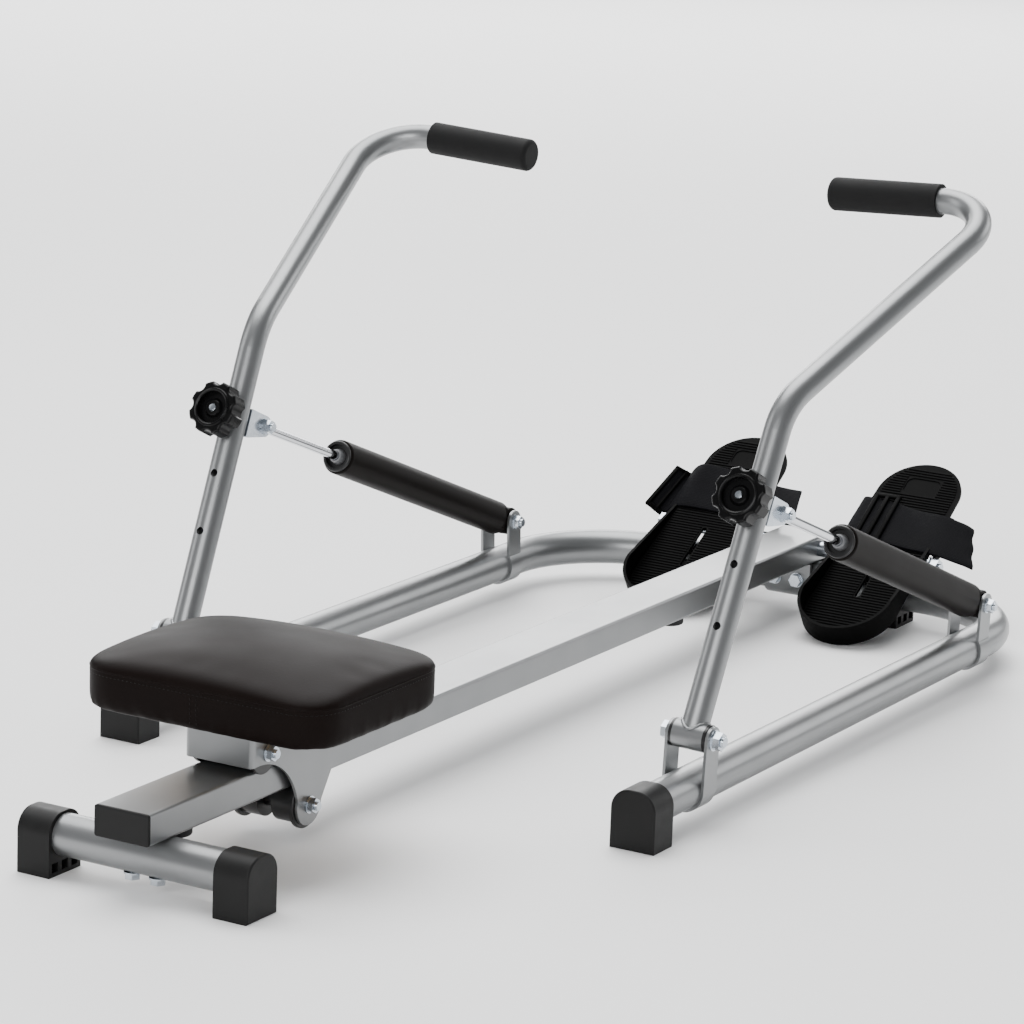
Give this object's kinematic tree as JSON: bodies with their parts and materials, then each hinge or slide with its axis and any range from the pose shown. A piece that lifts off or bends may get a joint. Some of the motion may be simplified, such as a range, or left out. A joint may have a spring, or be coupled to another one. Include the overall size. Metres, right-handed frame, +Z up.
{
  "type": "folding_hydraulic_rowing_machine",
  "caption": "Home rowing machine with a sliding padded seat on a steel rail, two hydraulic rowing arms on a bent tube base, and tilting footplates with straps",
  "frame": {"origin": "on the floor, under the middle of the bounding box", "axes": "+Z up, +Y from the seat towards the footplates, +X to the rower's right; X = 0 is the mirror plane"},
  "size_m": [0.7658, 1.4452, 0.5659],
  "materials": {
    "silver_paint": "satin powder coat",
    "zinc_plate": "bright zinc plating",
    "black_plastic": "fine moulded grain",
    "grey_nylon": "smooth nylon",
    "black_rubber": "matte",
    "foam_grip": "fine open foam",
    "vinyl": "soft grained vinyl",
    "board_wood": "plain ply",
    "cylinder_brown": "satin dark brown",
    "rod_chrome": "bright",
    "webbing": "woven webbing"
  },
  "bodies": {
    "base": {"base_frame": "silver_paint", "left_leg_cap": "black_plastic", "right_leg_cap": "black_plastic", "left_front_foot": "black_plastic", "right_front_foot": "black_plastic", "rear_stabiliser": "silver_paint", "left_stabiliser_cap": "black_plastic", "right_stabiliser_cap": "black_plastic", "seat_rail": "silver_paint", "rail_rear_plug": "black_plastic", "rail_front_plug": "black_plastic", "left_rear_bolt": "zinc_plate", "right_rear_bolt": "zinc_plate", "front_saddle": "silver_paint", "left_front_bolt": "zinc_plate", "right_front_bolt": "zinc_plate", "rear_bumper": "black_rubber", "front_bumper": "black_rubber", "footplate_axle": "zinc_plate", "right_arm_bracket": "silver_paint", "left_arm_bracket": "silver_paint", "right_arm_pivot_bolt": "zinc_plate", "left_arm_pivot_bolt": "zinc_plate", "right_cylinder_bracket": "silver_paint", "left_cylinder_bracket": "silver_paint", "right_cylinder_bolt": "zinc_plate", "left_cylinder_bolt": "zinc_plate", "right_spacer": "zinc_plate", "left_spacer": "zinc_plate"},
    "right_arm": {"right_arm_tube": "silver_paint", "right_arm_bush": "grey_nylon", "right_arm_grip": "foam_grip", "right_clevis": "zinc_plate", "right_clevis_bolt": "zinc_plate"},
    "right_knob": {"right_star_knob": "black_plastic"},
    "right_rod": {"right_piston_rod": "rod_chrome"},
    "right_cylinder": {"right_cylinder_shell": "cylinder_brown", "right_rod_gland": "grey_nylon"},
    "right_footrest": {"right_footplate": "black_plastic", "right_strap": "webbing"},
    "left_arm": {"left_arm_tube": "silver_paint", "left_arm_bush": "grey_nylon", "left_arm_grip": "foam_grip", "left_clevis": "zinc_plate", "left_clevis_bolt": "zinc_plate"},
    "left_knob": {"left_star_knob": "black_plastic"},
    "left_rod": {"left_piston_rod": "rod_chrome"},
    "left_cylinder": {"left_cylinder_shell": "cylinder_brown", "left_rod_gland": "grey_nylon"},
    "left_footrest": {"left_footplate": "black_plastic", "left_strap": "webbing"},
    "seat": {"seat_cushion": "vinyl", "seat_board": "board_wood", "seat_carriage": "silver_paint", "rear_roller_axle": "zinc_plate", "front_roller_axle": "zinc_plate", "lower_roller_axle": "zinc_plate"},
    "rear_roller_body": {"rear_roller": "grey_nylon"},
    "front_roller_body": {"front_roller": "grey_nylon"},
    "lower_roller_body": {"lower_roller": "grey_nylon"}
  },
  "joints": [
    {"name": "right_arm_swing", "type": "hinge", "parent": "base", "child": "right_arm", "pos_m": [0.2981, -0.20714, 0.08797], "axis": [0.9995, 0, -0.0314], "range_deg": [-6, 33]},
    {"name": "right_rod_pivot", "type": "hinge", "parent": "right_arm", "child": "right_rod", "pos_m": [0.30422, -0.06842, 0.2826], "axis": [0.9995, 0, -0.0314], "range_deg": [-35, 8]},
    {"name": "right_cylinder_slide", "type": "slide", "parent": "right_rod", "child": "right_cylinder", "axis": [-0.0115, 0.9312, -0.3644], "range_m": [-0.026, 0.136]},
    {"name": "right_knob_turn", "type": "hinge", "parent": "right_arm", "child": "right_knob", "pos_m": [0.30467, -0.11024, 0.29701], "axis": [-0.0132, 0.9073, -0.4202], "continuous": true},
    {"name": "right_footplate_tilt", "type": "hinge", "parent": "base", "child": "right_footrest", "pos_m": [0.113, 0.59936, 0.072], "axis": [1, 0, 0], "range_deg": [-31.5, 0]},
    {"name": "left_arm_swing", "type": "hinge", "parent": "base", "child": "left_arm", "pos_m": [-0.2981, -0.20714, 0.08797], "axis": [0.9995, 0, 0.0314], "range_deg": [-6, 33]},
    {"name": "left_rod_pivot", "type": "hinge", "parent": "left_arm", "child": "left_rod", "pos_m": [-0.30422, -0.06842, 0.2826], "axis": [0.9995, 0, 0.0314], "range_deg": [-35, 8]},
    {"name": "left_cylinder_slide", "type": "slide", "parent": "left_rod", "child": "left_cylinder", "axis": [0.0115, 0.9312, -0.3644], "range_m": [-0.026, 0.136]},
    {"name": "left_knob_turn", "type": "hinge", "parent": "left_arm", "child": "left_knob", "pos_m": [-0.30467, -0.11024, 0.29701], "axis": [0.0132, 0.9073, -0.4202], "continuous": true},
    {"name": "left_footplate_tilt", "type": "hinge", "parent": "base", "child": "left_footrest", "pos_m": [-0.113, 0.59936, 0.072], "axis": [1, 0, 0], "range_deg": [-31.5, 0]},
    {"name": "seat_slide", "type": "slide", "parent": "base", "child": "seat", "axis": [0, 1, 0], "range_m": [-0.127, 0.728]},
    {"name": "rear_roller_turn", "type": "hinge", "parent": "seat", "child": "rear_roller_body", "pos_m": [0, -0.54714, 0.105], "axis": [1, 0, 0], "continuous": true},
    {"name": "front_roller_turn", "type": "hinge", "parent": "seat", "child": "front_roller_body", "pos_m": [0, -0.45614, 0.105], "axis": [1, 0, 0], "continuous": true},
    {"name": "lower_roller_turn", "type": "hinge", "parent": "seat", "child": "lower_roller_body", "pos_m": [0, -0.47614, 0.037], "axis": [1, 0, 0], "continuous": true}
  ],
  "couplings": [
    {"joint": "right_rod_pivot", "follows": "right_arm_swing", "ratio": -1.0036},
    {"joint": "right_cylinder_slide", "follows": "right_arm_swing", "m_per_rad": 0.23418},
    {"joint": "left_rod_pivot", "follows": "left_arm_swing", "ratio": -1.0036},
    {"joint": "left_cylinder_slide", "follows": "left_arm_swing", "m_per_rad": 0.23418},
    {"joint": "rear_roller_turn", "follows": "seat_slide", "rad_per_m": -55.556},
    {"joint": "front_roller_turn", "follows": "seat_slide", "rad_per_m": -55.556},
    {"joint": "lower_roller_turn", "follows": "seat_slide", "rad_per_m": 50}
  ]
}
